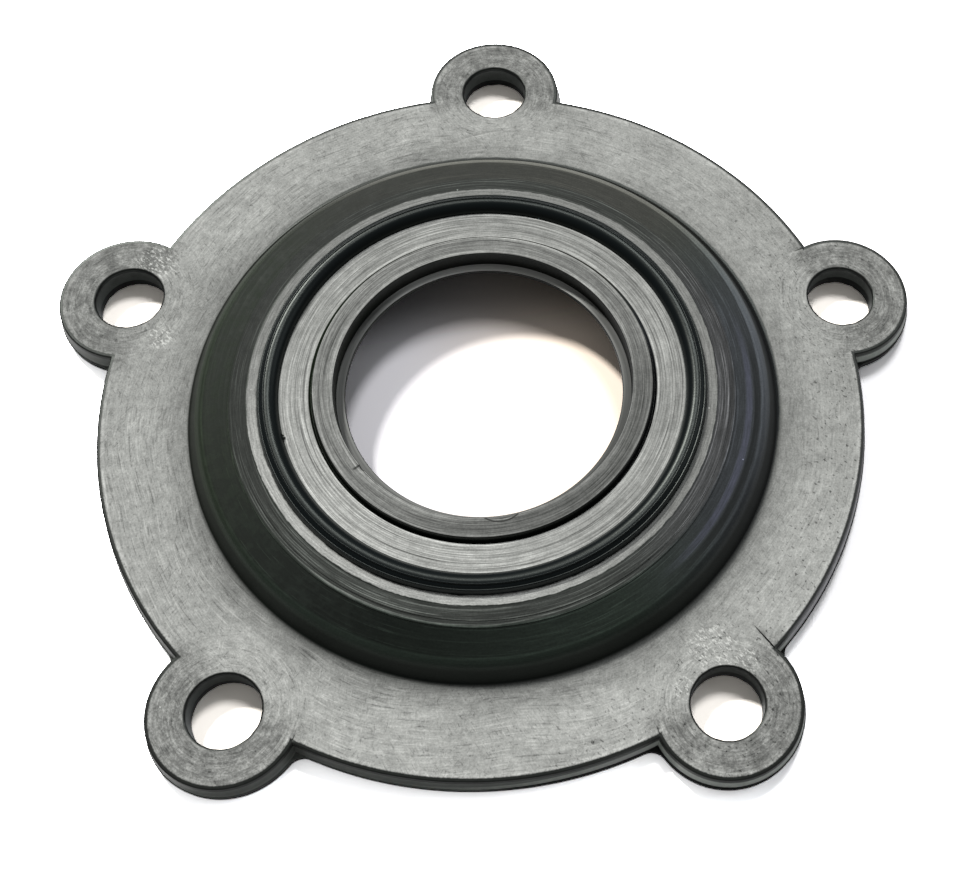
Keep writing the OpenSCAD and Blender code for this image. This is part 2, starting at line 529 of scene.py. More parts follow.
def rim(b):
    """The outer edge of the flange, from the top face down to the underside."""
    loops = []
    base = outline(0.0, False)
    places = [(grow, z, False) for grow, z in RIM_TOP] + [(grow, z, True) for grow, z in RIM_LOW]
    for grow, z, filleted in places:
        xy = outline(grow, filleted)
        zz = [side_height(x, y, z) for x, y in base]
        at_edge = z > TOP_EDGE_Z or abs(z - PARTING_Z) < FLASH_REACH
        ragged = RAGGED_EDGE if at_edge else RAGGED_SIDE
        wave = np.array([smooth_noise(x, y, z * 0.4, 0.9) for x, y in base])
        out = xy / np.hypot(*xy.T)[:, None]
        xy = xy + out * (wave * ragged)[:, None] - out * ragged
        loops.append(b.add(np.c_[xy, zz]))
    return b.skin(loops, flipped=True)


# A bolt hole: how far each loop is grown, its height and how ragged it is
HOLE_PATH = [(HOLE_INSET, FACE_Z, 0.0), (0.13, FLANGE_T - 0.045, 0.09),
             (0.035, FLANGE_T - 0.11, 0.09), (0.0, FLANGE_T - 0.24, 0.03), (0.0, 2.8, 0.03),
             (0.0, 1.3, 0.03), (0.0, 0.28, 0.03), (0.04, 0.12, 0.09), (0.14, 0.02, 0.09),
             (HOLE_INSET, 0.0, 0.0)]


def bolt_hole(b, k):
    """One bolt hole, whose edges are a little ragged."""
    c = LOBE_CENTRES[k]
    a = np.arange(HOLE_POINTS) * 2 * math.pi / HOLE_POINTS
    loops = []
    for grow, z, ragged in HOLE_PATH:
        place = 5.0 * k + 0.3 * z
        wave = np.array([smooth_noise(3 * math.cos(t), 3 * math.sin(t), place, 1.6) for t in a])
        r = HOLE_R + grow + ragged * wave
        x, y = c[0] + r * np.cos(a), c[1] + r * np.sin(a)
        loops.append(b.add([(u, v, side_height(u, v, z)) for u, v in zip(x, y)]))
    return b.skin(loops)


SMOOTH_ANGLE = 50  # faces that meet at less than this many degrees are shaded as one
TOP_SEED, LOW_SEED = 11, 12


def make_body():
    b = Builder()
    top_in, low_in = centre_rings(b, section())
    top_out, low_out = rim(b)
    tops, lows = zip(*(bolt_hole(b, k) for k in range(LOBES)))
    flat_face(b, top_out, tops, top_in, flange_height, mark_lines(), TOP_SEED, True)
    flat_face(b, low_out, lows, low_in, lambda x, y: 0.0, [], LOW_SEED, False)
    me = b.mesh("gasket_rubber")
    ob = new_object("gasket_rubber", me)
    for p in me.polygons:
        p.use_smooth = True
    me.set_sharp_from_angle(angle=SMOOTH_ANGLE * DEG)
    return ob


class Tree:
    """A short way to write a shader's nodes."""

    def __init__(self, tree):
        self.nodes = tree.nodes
        self.links = tree.links

    def node(self, kind, **props):
        nd = self.nodes.new(kind)
        for k, v in props.items():
            setattr(nd, k, v)
        return nd

    def put(self, socket, value):
        if isinstance(value, bpy.types.NodeSocket):
            self.links.new(value, socket)
        elif value is not None:
            socket.default_value = value

    def fill(self, nd, values):
        """The output of a node whose first inputs get the values that aren't None."""
        for s, v in zip(nd.inputs, values):
            self.put(s, v)
        return nd.outputs[0]

    def math(self, operation, a, b=None):
        return self.fill(self.node("ShaderNodeMath", operation=operation), (a, b))

    add = partialmethod(math, "ADD")
    sub = partialmethod(math, "SUBTRACT")
    mul = partialmethod(math, "MULTIPLY")
    div = partialmethod(math, "DIVIDE")
    larger = partialmethod(math, "MAXIMUM")

    def product(self, *values):
        return reduce(self.mul, values)

    def maximum(self, *values):
        return reduce(self.larger, values)

    def less(self, mask, amount):
        """1, less the amount where the mask is 1."""
        return self.sub(1.0, self.mul(mask, amount))

    def more(self, mask, amount):
        """1, and the amount more where the mask is 1."""
        return self.add(1.0, self.mul(mask, amount))

    def about(self, value, amount):
        """A factor about 1 from a noise about one half."""
        return self.more(self.sub(value, 0.5), amount)

    def length(self, a, b):
        return self.math("SQRT", self.add(self.mul(a, a), self.mul(b, b)))

    def split(self, vector):
        nd = self.node("ShaderNodeSeparateXYZ")
        self.put(nd.inputs[0], vector)
        return nd.outputs

    def vec(self, x, y, z):
        return self.fill(self.node("ShaderNodeCombineXYZ"), (x, y, z))

    def smooth(self, value, low, high, to_low=0.0, to_high=1.0):
        nd = self.node("ShaderNodeMapRange", interpolation_type="SMOOTHSTEP")
        return self.fill(nd, (value, low, high, to_low, to_high))

    def window(self, value, low, high, soft):
        """1 between low and high, falling to 0 over soft outside them."""
        up = self.smooth(value, low - soft, low)
        down = self.smooth(value, high, high + soft, 1.0, 0.0)
        return self.mul(up, down)

    def noise(self, vector, scale, detail, rough=0.5):
        nd = self.node("ShaderNodeTexNoise")
        self.put(nd.inputs["Vector"], vector)
        nd.inputs["Scale"].default_value = scale
        nd.inputs["Detail"].default_value = detail
        nd.inputs["Roughness"].default_value = rough
        return nd.outputs["Fac"]

    def mix(self, fac, a, b, blend="MIX"):
        nd = self.node("ShaderNodeMix", data_type="RGBA", blend_type=blend)
        self.put(nd.inputs[0], fac)
        for s, v in ((nd.inputs[6], a), (nd.inputs[7], b)):
            self.put(s, (*v, 1.0) if isinstance(v, tuple) else v)
        return nd.outputs[2]

    def mixf(self, fac, a, b):
        return self.fill(self.node("ShaderNodeMix", data_type="FLOAT"), (fac, None, a, b))


def new_material(name):
    m = bpy.data.materials.new(name)
    m.use_nodes = True
    return m, Tree(m.node_tree), m.node_tree.nodes["Principled BSDF"]


def lobe_place(t, theta, r, circle_r):
    """The nearest lobe's number, and the place from its hole: outwards, along and distance."""
    turned = t.add(theta, (LOBE_STEP / 2 - FIRST_LOBE + 720) * DEG)
    lobe = t.math("FLOOR", t.div(turned, LOBE_STEP * DEG))
    local = t.sub(turned, t.mul(t.add(lobe, 0.5), LOBE_STEP * DEG))
    out = t.sub(t.mul(r, t.math("COSINE", local)), circle_r)
    along = t.mul(r, t.math("SINE", local))
    return lobe, out, along, t.length(out, along)


# Linear reflectances of the buffed faces
DISC = 0.355
EAR_SHARE = 0.62
SCUFF = 0.78
SEAT_RIM_VALUE = 0.26
SEAT_VALUE = 0.32
RING_VALUE = 0.19
# the lip's value is raised to paint light where the ring shades it
LIP_VALUE_WITH_PAINTED_LIGHT = 0.50
# Linear reflectances of the moulded skin, the painted sheen drawn in grey on it and the side of
# the flange
WALL = 0.006
# painted sheen on the slope
PAINTED_SHEEN_FILM = 0.045
# painted reflection in the sheen arc
PAINTED_SHEEN_ARC_VALUE = 0.036
STREAK_FILM = 0.022
MOTTLE_FILM = 0.006
# painted sheen on the shoulder
PAINTED_SHOULDER_SHEEN = 0.018
BAND_FILM = 0.055
GROOVE_DARK = 0.008
BEAD = 0.006
DUST = 0.55
SIDE = 0.095
# painted light on the right side of the flange and its top edge
SIDE_PAINTED_LIGHT_RIGHT = 0.125
# black of the unbuffed top edge, and painted contact shade at the foot of the side
EDGE_AND_CONTACT_SHADE = 0.012
FLASH = 0.38
FLASH_SHARE = 0.36

SPECULAR = 0.22
GLOSS_TINT = (0.92, 1.0, 0.92)
BUMP_DEPTH = 0.035

BUFFED_TINT = (0.985, 1.0, 0.955)
SKIN_TINT = (0.72, 1.0, 0.62)
# tints by side: painted light on the far side, painted shade on the near side, painted reflection
# on the right and in the sheen arc
PAINTED_LIGHT_FAR_TINT = (1.0, 1.0, 0.88)
PAINTED_SHADE_NEAR_TINT = (0.72, 1.0, 0.80)
PAINTED_REFLECTION_RIGHT_TINT = (0.88, 0.97, 1.10)
PAINTED_SHEEN_TINT = (0.86, 0.91, 1.26)
BEAD_TINT = (0.62, 0.95, 1.10)
BAND_TINT = (0.93, 1.0, 0.92)
BAND_PAINTED_REFLECTION_TINT = (0.97, 0.98, 1.01)
RIM_TINT = (0.93, 1.0, 0.93)
RIM_PAINTED_LIGHT_TINT = (1.0, 0.99, 1.05)

# Sides of the part: the angle that each faces, and the cosines of the angle from it where it
# starts and is full. Most set where painted light, shade or reflection falls on one side; the rest
# place texture, gloss or the edge of the buffing at the foot.
SIDES = {
    "far_foot": (70, -0.15, 0.7), "near_foot": (-80, 0.0, 0.9),
    "quiet_disc": (0, -0.3, 0.8), "pitted_disc": (-20, 0.2, 0.9),
    "near_disc": (-88, -0.1, 0.9), "near_left_disc": (-115, 0.35, 0.9),
    "near_right_disc": (-38, 0.5, 0.95), "far_left_disc": (140, 0.3, 0.95),
    "light_seat_rim": (-118, 0.15, 0.9), "light_seat": (-125, 0.2, 1.0),
    "painted_shade_ring": (-42, 0.1, 0.9), "far_lip": (90, 0.55, 0.95),
    "painted_shade_lip": (-38, 0.55, 0.95), "lit_groove": (100, -0.2, 0.8),
    "painted_sheen_side": (15, -0.85, 0.8), "sheen": (-16, 0.80, 0.985),
    "streaked": (-165, 0.1, 0.9), "mottled": (180, 0.1, 0.9),
    "lit_wall": (75, -0.6, 0.9), "lit_shoulder": (55, 0.1, 0.95),
    "far_shoulder": (92, 0.8, 0.98), "painted_light_band": (10, 0.4, 0.95),
    "painted_shade_band": (160, 0.3, 0.9), "right_rim": (-18, 0.45, 0.93),
    "low_right_rim": (-30, 0.3, 0.85), "far": (85, 0.3, 0.9),
    "near": (-90, 0.2, 0.95), "near_gloss": (-85, 0.60, 0.98),
    "right": (-5, 0.55, 0.97),
}

# Zones of the section: from one radius to another, and the softness of both ends
LIP_FACE = (17.9, 19.1, 0.05)
RING_FACE = (19.25, 21.8, 0.06)
GROOVE_ZONE = (21.9, 22.45, 0.04)
SEAT_FACE = (22.45, 26.10, 0.08)
BEAD_ZONE = (26.25, 28.98, 0.04)
SEAT_RIM_FACE = (29.10, 30.15, 0.16)
SLOPE = (32.5, 36.2, 0.4)
# arcs of painted reflection, painted shade, painted sheen and painted highlight on the slope and
# wall
PAINTED_SHEEN_ARC = (34.35, 34.75, 0.45)
PAINTED_SHADE_ARC = (35.4, 35.8, 0.35)
SHOULDER_SHEEN_ARC = (36.35, 37.2, 0.35)
PAINTED_WALL_HIGHLIGHT = (36.9, 37.9, 0.5)

# Noises in space: scale in 1/mm, detail and roughness
GRAIN = (4.2, 2.0, 0.7)
BLOTCH = (0.13, 2.0, 0.55)
MIDDLE = (0.75, 2.0, 0.6)
WARP = (0.045, 1.0, 0.5)
WARP_REACH = 5.0
# Noises round the axis: the circle's radius in cells, cells per mm across, detail, roughness
STROKES = (7.0, 2.6, 3.0, 0.7)
SHORT_STROKES = (34.0, 5.5, 2.0, 0.6)
ROUND_MARKS = (11.0, 4.4, 1.0, 0.4)
RING_LINES = (1.3, 4.4, 3.0, 0.8)
FINE_LINES = (2.0, 9.0, 1.0, 0.5)
SEAT_STROKES = (14.0, 6.0, 3.0, 0.65)
# The same round a bolt hole, with the step from one lobe to the next in third place
EAR_STROKES = (2.6, 3.4, 9.0, 3.0, 0.65)
EAR_MARKS = (3.2, 4.4, 1.0, 1.0, 0.4)
# Noises stretched along a diagonal: scales across and along it, detail and roughness
PITS = (1.7, 1.0, 1.0, 0.45)
FLAKES = (2.2, 0.9, 2.0, 0.7)
FLAKE_SEED = 4.0
# Straight scratches: direction, cells per mm across and along it, and seed
HATCHES = [(32, 5.2, 0.55, 2.0), (-38, 5.2, 0.60, 5.0), (-8, 4.8, 0.5, 8.0)]
# Patches that hold scratches: seed, and where the noise starts and is full
PATCHES = [(11.0, 0.44, 0.58), (23.0, 0.46, 0.60)]
PATCH_SCALE = 0.085

# Whitish scuffs around two of the bolt holes: x, y and reach
SCUFFS = [(-45.6, 21.0, 4.2), (-43.6, 9.6, 2.6), (28.5, -34.4, 4.6), (25.0, -39.4, 2.4),
          (32.4, -35.8, 2.4)]


class Place:
    """The place on the part as values of the rubber's nodes: in millimetres, about the axis and in
    the nearest lobe's own frame. Noises and masks that share it are kept here too."""

    def __init__(self, name):
        self.material, self.t, self.bsdf = new_material(name)
        t = self.t
        coord = t.node("ShaderNodeTexCoord")
        scaled = t.node("ShaderNodeVectorMath", operation="SCALE")
        t.put(scaled.inputs[0], coord.outputs["Object"])
        scaled.inputs["Scale"].default_value = 1 / MM
        self.pos = scaled.outputs[0]
        self.x, self.y, self.z = t.split(self.pos)
        self.nz = t.split(coord.outputs["Normal"])[2]
        self.r = t.length(self.x, self.y)
        self.ux, self.uy = t.div(self.x, self.r), t.div(self.y, self.r)
        self.theta = t.math("ARCTAN2", self.y, self.x)
        self.lobe, out, along, self.ear_d = lobe_place(t, self.theta, self.r, BOLT_CIRCLE_R)
        self.ear_ux, self.ear_uy = t.div(out, self.ear_d), t.div(along, self.ear_d)

    @cache
    def side(self, name):
        """1 on the named side of the part, 0 on the other one."""
        t = self.t
        angle, low, high = SIDES[name]
        a = angle * DEG
        facing = t.add(t.mul(self.ux, math.cos(a)), t.mul(self.uy, math.sin(a)))
        return t.smooth(facing, low, high)

    def mottle(self, **amounts):
        """A factor about 1 from the named noises, each by its amount."""
        t = self.t
        return t.product(*(t.about(getattr(self, name), a) for name, a in amounts.items()))

    def round_axis(self, radius, around, across, detail, rough):
        t = self.t
        cell = t.vec(t.mul(self.ux, around), t.mul(self.uy, around), t.mul(radius, across))
        return t.noise(cell, 1.0, detail, rough)

    def round_hole(self, around, across, step, detail, rough):
        t = self.t
        depth = t.add(t.mul(self.ear_d, across), t.mul(self.lobe, step))
        cell = t.vec(t.mul(self.ear_ux, around), t.mul(self.ear_uy, around), depth)
        return t.noise(cell, 1.0, detail, rough)

    def diagonal(self, seed, across, along, detail, rough):
        t = self.t
        p, q = t.add(self.x, self.y), t.sub(self.x, self.y)
        return t.noise(t.vec(t.mul(p, across), t.mul(q, along), seed), 1.0, detail, rough)

    def hatch(self, angle, across, along, seed):
        t = self.t
        c, s = math.cos(angle * DEG), math.sin(angle * DEG)
        p = t.add(t.mul(self.x, c), t.mul(self.y, s))
        q = t.sub(t.mul(self.y, c), t.mul(self.x, s))
        return t.noise(t.vec(t.mul(p, across), t.mul(q, along), seed), 1.0, 1.0, 0.4)

    def patch(self, seed, low, high):
        t = self.t
        return t.smooth(t.noise(t.vec(self.x, self.y, seed), PATCH_SCALE, 1.0), low, high)


def make_noises(p):
    """The noises of grain, patches, strokes and lines."""
    t = p.t
    p.grain = t.noise(p.pos, *GRAIN)
    p.blotch = t.noise(p.pos, *BLOTCH)
    p.middle = t.noise(p.pos, *MIDDLE)
    p.warped = t.add(p.r, t.mul(t.sub(t.noise(p.pos, *WARP), 0.5), WARP_REACH))
    p.short = p.round_axis(p.warped, *SHORT_STROKES)
    p.near_ear = t.smooth(p.ear_d, 7.5, 12.0, 1.0, 0.0)
    p.ear_stroke = p.round_hole(*EAR_STROKES)
    stroke = p.round_axis(p.warped, *STROKES)
    p.ring_stroke = t.mixf(p.near_ear, stroke, p.ear_stroke)
    p.ring_lines = p.round_axis(p.r, *RING_LINES)
    p.fine_lines = p.round_axis(p.r, *FINE_LINES)
    p.seat_short = p.round_axis(p.r, *SEAT_STROKES)
    p.arcs = t.smooth(p.ring_lines, 0.54, 0.64)


def find_zones(p):
    """Where each face of the section is, as masks."""
    t, r, z = p.t, p.r, p.z
    loose_grain, loose_middle = t.sub(p.grain, 0.5), t.sub(p.middle, 0.5)
    up = t.smooth(p.nz, 0.80, 0.97)
    low_top = t.mul(t.smooth(z, 3.6, 3.8), t.smooth(z, 4.30, 4.60, 1.0, 0.0))
    foot = t.add(t.add(38.35, t.mul(p.side("far_foot"), 0.75)), t.mul(loose_middle, 0.3))
    foot_soft = t.sub(0.65, t.mul(p.side("far_foot"), 0.4))
    foot_soft = t.add(foot_soft, t.mul(p.side("near_foot"), 1.25))
    from_foot = t.div(t.sub(r, foot), foot_soft)
    from_edge = t.maximum(t.sub(FLANGE_R, r), t.sub(LOBE_R, p.ear_d))
    p.from_edge = t.add(from_edge, t.mul(loose_grain, 0.12))
    from_hole = t.sub(p.ear_d, t.add(HOLE_R, t.mul(loose_grain, 0.2)))
    p.disc = t.product(up, low_top, t.smooth(from_foot, -0.1, 1.0),
                       t.smooth(p.from_edge, 0.70, 0.92), t.smooth(from_hole, 0.16, 0.34))

    seat_top = t.mul(up, t.smooth(z, 8.6, 8.75))
    ragged_r = t.add(r, t.mul(loose_middle, 0.35))
    p.seat_rim = t.mul(seat_top, t.window(ragged_r, *SEAT_RIM_FACE))
    p.seat = t.mul(seat_top, t.window(r, *SEAT_FACE))
    p.ring = t.product(up, t.smooth(z, 9.3, 9.4), t.window(r, *RING_FACE))
    p.lip = t.product(up, t.window(r, *LIP_FACE), t.window(z, 6.7, 7.3, 0.1))
    p.bead = t.mul(t.window(r, *BEAD_ZONE), t.smooth(z, 8.5, 8.7))
    p.band = t.product(t.smooth(r, 30.25, 30.45), t.smooth(ragged_r, 32.95, 32.35),
                       t.smooth(z, 7.7, 7.9))
    p.slope = t.mul(t.window(r, *SLOPE), t.smooth(z, 6.0, 6.5))
    p.flange_side = t.mul(t.smooth(r, 40.0, 41.0), t.sub(1.0, p.disc))
    p.buffed = t.maximum(p.disc, p.seat_rim, p.seat, p.ring, p.lip)
    p.rim_right = t.mul(p.side("right_rim"), t.smooth(p.ear_d, 10.0, 13.0))
    # painted reflection: a bluish sheen arc on the slope's lower right
    p.sheen_arc = t.product(t.window(r, *PAINTED_SHEEN_ARC), p.side("sheen"), p.mottle(seat_short=1.2))


def scratches(p):
    """Thin scratches, dark and light, that follow the circles or run straight in patches."""
    t = p.t
    curved = t.mixf(p.near_ear, p.round_axis(p.warped, *ROUND_MARKS), p.round_hole(*EAR_MARKS))
    straight = [p.hatch(*h) for h in HATCHES]
    patches = [p.patch(*values) for values in PATCHES]
    # each set has its share, and how far from one half its noise has to be
    sets = [(curved, 1.0, 0.13), (straight[0], patches[0], 0.15),
            (straight[1], patches[1], 0.15), (straight[2], t.less(patches[0], 0.8), 0.17)]
    dark = [t.mul(t.smooth(v, 0.5 - cut, 0.44 - cut), share) for v, share, cut in sets]
    light = [t.mul(t.smooth(v, 0.5 + cut, 0.56 + cut), share) for v, share, cut in sets]
    return t.maximum(*dark), t.maximum(*light)


def pits(p):
    """Small dark pits, denser toward the rim."""
    t = p.t
    field = t.smooth(p.diagonal(p.z, *PITS), 0.36, 0.28)
    share = t.add(0.5, t.mul(p.side("pitted_disc"), 0.6))
    return t.product(field, t.smooth(p.r, 39.5, 45.0), share)


def scuffs(p):
    """Whitish scuffs beside two of the bolt holes."""
    t = p.t
    areas = []
    for sx, sy, reach in SCUFFS:
        away = t.length(t.sub(p.x, sx), t.sub(p.y, sy))
        areas.append(t.smooth(away, reach, reach * 0.35))
    flake = t.smooth(p.diagonal(FLAKE_SEED, *FLAKES), 0.52, 0.63)
    return t.mul(t.maximum(*areas), flake)


def specks(p):
    """Sparse dust."""
    t = p.t
    dust = t.node("ShaderNodeTexVoronoi")
    t.put(dust.inputs["Vector"], p.pos)
    dust.inputs["Scale"].default_value = 0.27
    pick = t.node("ShaderNodeSeparateColor")
    t.put(pick.inputs[0], dust.outputs["Color"])
    near = t.smooth(dust.outputs["Distance"], 0.040, 0.022)
    return t.mul(near, t.smooth(pick.outputs[0], 0.80, 0.82))


def disc_value(p):
    """The buffed flange and its lobes."""
    t, r, side = p.t, p.r, p.side
    dark, light = scratches(p)
    share = t.sub(0.95, t.product(side("quiet_disc"), t.sub(1.0, p.near_ear), 0.42))
    tone = t.add(1.0, t.product(t.sub(p.ring_stroke, 0.5), share, 0.75))
    tone = t.mul(tone, p.mottle(short=0.50, blotch=0.65, middle=0.75, grain=1.0))
    tone = t.sub(tone, t.product(dark, share, 0.32))
    tone = t.add(tone, t.product(light, share, 0.26))
    tone = t.sub(tone, t.mul(pits(p), 0.50))

    # the lobes are darker and more uneven than the disc
    ear_area = t.mul(t.smooth(r, 46.0, 50.5), t.smooth(p.ear_d, 12.0, 9.2))
    coarse = t.vec(t.mul(p.x, 0.55), t.mul(p.y, 0.55), 31.0)
    p.ear_patch = t.noise(coarse, 1.0, 2.0, 0.7)
    ear_tone = p.mottle(ear_patch=1.9, ear_stroke=0.9, grain=0.6)
    ear_tone = t.mul(t.mixf(ear_area, 1.0, EAR_SHARE), t.mixf(ear_area, 1.0, ear_tone))

    # painted shade: the disc darkens toward the foot of the raised centre, more on three sides
    inner = t.smooth(r, 38.5, 42.5, 0.80, 1.0)
    near_left = t.mul(side("near_left_disc"), t.smooth(r, 43.5, 40.0))
    inner = t.mul(inner, t.less(near_left, 0.24))
    painted_shade_two_sides = t.add(t.mul(side("near_right_disc"), 0.18), t.mul(side("far_left_disc"), 0.14))
    inner = t.mul(inner, t.sub(1.0, t.mul(painted_shade_two_sides, t.smooth(r, 44.0, 40.5))))
    # painted light: the disc is lighter on its near side
    near = t.add(0.96, t.mul(side("near_disc"), 0.13))

    value = t.product(DISC, tone, ear_tone, inner, near)
    value = t.mixf(t.mul(scuffs(p), 0.68), value, SCUFF)
    # painted highlight: the face is lighter just inside its outline
    return t.mul(value, t.more(t.smooth(p.from_edge, 1.45, 1.05), 0.16))


def seat_tone(p):
    """Lines that run all the way round, broken strokes and grain."""
    t = p.t
    tone = p.mottle(ring_lines=2.2, fine_lines=1.7, seat_short=0.9, middle=0.6, grain=0.9)
    return t.mul(tone, t.less(t.smooth(p.ring_lines, 0.42, 0.34), 0.35))


def seat_rim_value(p):
    t = p.t
    # painted light: the seat's rim is lighter on its near left side
    share = t.add(0.82, t.mul(p.side("light_seat_rim"), 0.72))
    return t.product(SEAT_RIM_VALUE, share, p.mottle(seat_short=1.6, ring_lines=1.4, grain=1.0))


def seat_value(p, tone):
    t, r = p.t, p.r
    # painted light: the seat is lighter on its near left side; it is also lighter along both edges
    share = t.add(0.92, t.mul(p.side("light_seat"), 0.30))
    lighter_edges = t.maximum(t.smooth(r, 22.95, 22.60), t.smooth(r, 25.70, 25.95))
    return t.product(SEAT_VALUE, tone, share, t.more(lighter_edges, 0.28))


def ring_value(p, tone):
    """The inner ring, with a tongue-shaped mark and a slit in it, a painted highlight along both
    edges, and painted shade on its near right side.
    """
    t, r = p.t, p.r
    turn = t.div(t.add(p.theta, 82.0 * DEG), 6.0 * DEG)
    arch = t.add(19.3, t.mul(t.sub(1.0, t.mul(turn, turn)), 0.60))
    tongue = t.smooth(t.math("ABSOLUTE", t.sub(r, arch)), 0.16, 0.07)
    from_slit = t.math("ABSOLUTE", t.add(p.theta, 141.5 * DEG))
    slit = t.mul(t.smooth(from_slit, 0.55 * DEG, 0.25 * DEG), t.smooth(r, 20.5, 20.0))
    lighter_edges = t.maximum(t.smooth(r, 19.95, 19.50), t.smooth(r, 21.30, 21.65))
    return t.product(RING_VALUE, tone, t.less(p.side("painted_shade_ring"), 0.42),
                     t.less(t.maximum(tongue, slit), 0.75), t.more(lighter_edges, 0.55))


# The lip's tone is painted light: pale where the ring shades it, paler on the far side and at the
# inner edge, with painted shade on the near right
def painted_light_lip_value(p):
    t = p.t
    share = t.add(0.30, t.mul(p.side("far_lip"), 0.85))
    return t.product(LIP_VALUE_WITH_PAINTED_LIGHT, share, p.mottle(ring_lines=1.0),
                     t.smooth(p.r, 18.25, 18.45, 1.35, 1.0), t.less(p.side("painted_shade_lip"), 0.45))


def wall_value(p):
    """The black skin of the wall, with a painted highlight along its shoulder, strongest on the
    far right, painted sheen on the shoulder, and painted shade on the near slope.
    """
    t, r, side = p.t, p.r, p.side
    lit = t.mul(t.window(r, *PAINTED_WALL_HIGHLIGHT), t.add(0.25, t.mul(side("lit_wall"), 0.9)))
    value = t.product(WALL, p.mottle(grain=0.8), t.more(lit, 3.0),
                      t.less(t.product(p.slope, side("near")), 0.7))
    painted_sheen = t.add(t.mul(side("lit_shoulder"), 0.085), t.mul(side("far_shoulder"), 0.035))
    shoulder = t.product(t.window(r, *SHOULDER_SHEEN_ARC), t.add(PAINTED_SHOULDER_SHEEN, painted_sheen),
                         p.mottle(seat_short=0.9, grain=0.7))
    return t.add(value, shoulder)


def painted_sheen_film_value(p):
    """A painted sheen on the slope above the shoulder, drawn in grey and strongest on the right,
    with a painted reflection arc and a painted shade arc on the lower right, and light streaks and
    mottles on the left.
    """
    t, side = p.t, p.side
    painted_sheen = t.mul(PAINTED_SHEEN_FILM, t.add(0.08, t.mul(side("painted_sheen_side"), 0.66)))
    painted_sheen = t.product(painted_sheen, p.mottle(seat_short=1.6, grain=0.9), t.add(0.85, t.mul(p.arcs, 0.9)))
    painted_shade_arc = t.mul(t.window(p.r, *PAINTED_SHADE_ARC), side("sheen"))
    painted_sheen = t.add(t.mul(painted_sheen, t.less(painted_shade_arc, 0.75)), t.mul(p.sheen_arc, PAINTED_SHEEN_ARC_VALUE))
    streaks = t.product(t.smooth(p.seat_short, 0.50, 0.66), p.arcs, side("streaked"))
    painted_sheen = t.add(painted_sheen, t.mul(streaks, STREAK_FILM))
    mottled = t.mul(t.smooth(p.middle, 0.45, 0.62), side("mottled"))
    return t.add(painted_sheen, t.mul(mottled, MOTTLE_FILM))


def band_value(p):
    """The two shallow bands between the seat and the slope, with painted light toward the near
    side and on the right, and painted shade toward the far side and on the left.
    """
    t = p.t
    value = t.product(BAND_FILM, p.mottle(seat_short=1.8, ring_lines=3.0, grain=0.8),
                      t.add(0.9, t.mul(p.arcs, 1.2)), t.smooth(p.uy, -0.8, 0.8, 1.15, 0.55))
    share = t.sub(t.mul(p.side("painted_light_band"), 0.50), t.mul(p.side("painted_shade_band"), 0.45))
    return t.mul(value, t.add(1.0, share))


def side_value(p):
    """The side of the flange and lobes, with the light line of the flash and painted contact shade
    below it; on the right the side and its top edge get painted light, and on the lower right the
    light line is painted higher and dimmer than the flash.
    """
    t, low_right = p.t, p.side("low_right_rim")
    side_z = t.sub(p.z, t.mul(low_right, 0.6))
    contact_shade = t.smooth(side_z, 1.38, 1.20)
    flash_z = t.add(1.4, t.mul(t.sub(side_z, 1.4), t.less(low_right, 0.4)))
    flash = t.mul(t.window(flash_z, 1.40, 2.05, 0.10), t.smooth(p.from_edge, 3.0, 2.0))
    upright = t.mixf(contact_shade, t.mixf(p.rim_right, SIDE, SIDE_PAINTED_LIGHT_RIGHT), EDGE_AND_CONTACT_SHADE)
    painted_rim_highlight = t.mul(p.rim_right, t.smooth(p.from_edge, 0.55, 0.35))
    edge = t.mixf(painted_rim_highlight, EDGE_AND_CONTACT_SHADE, SIDE_PAINTED_LIGHT_RIGHT)
    value = t.mixf(t.smooth(p.z, 3.30, 3.50), upright, edge)
    value = t.mixf(flash, value, t.mixf(low_right, FLASH * FLASH_SHARE, FLASH))
    return t.mul(value, p.mottle(grain=0.6, middle=0.5))


def all_values(p):
    """The tones of all zones, laid over one another."""
    t = p.t
    wall, tone = wall_value(p), seat_tone(p)
    # painted light: the groove is lighter on its far side
    groove = t.add(GROOVE_DARK, t.mul(p.side("lit_groove"), 0.075))
    layers = [
        (p.slope, t.add(wall, painted_sheen_film_value(p))),
        (p.band, band_value(p)),
        (p.flange_side, side_value(p)),
        (t.window(p.r, *GROOVE_ZONE), groove),
        (p.bead, BEAD),
        (p.disc, disc_value(p)),
        (p.seat_rim, seat_rim_value(p)),
        (p.seat, seat_value(p, tone)),
        (p.ring, ring_value(p, tone)),
        (p.lip, painted_light_lip_value(p)),
        (t.mul(specks(p), 0.8), DUST),
    ]
    value = wall
    for mask, layer in layers:
        value = t.mixf(mask, value, layer)
    return value


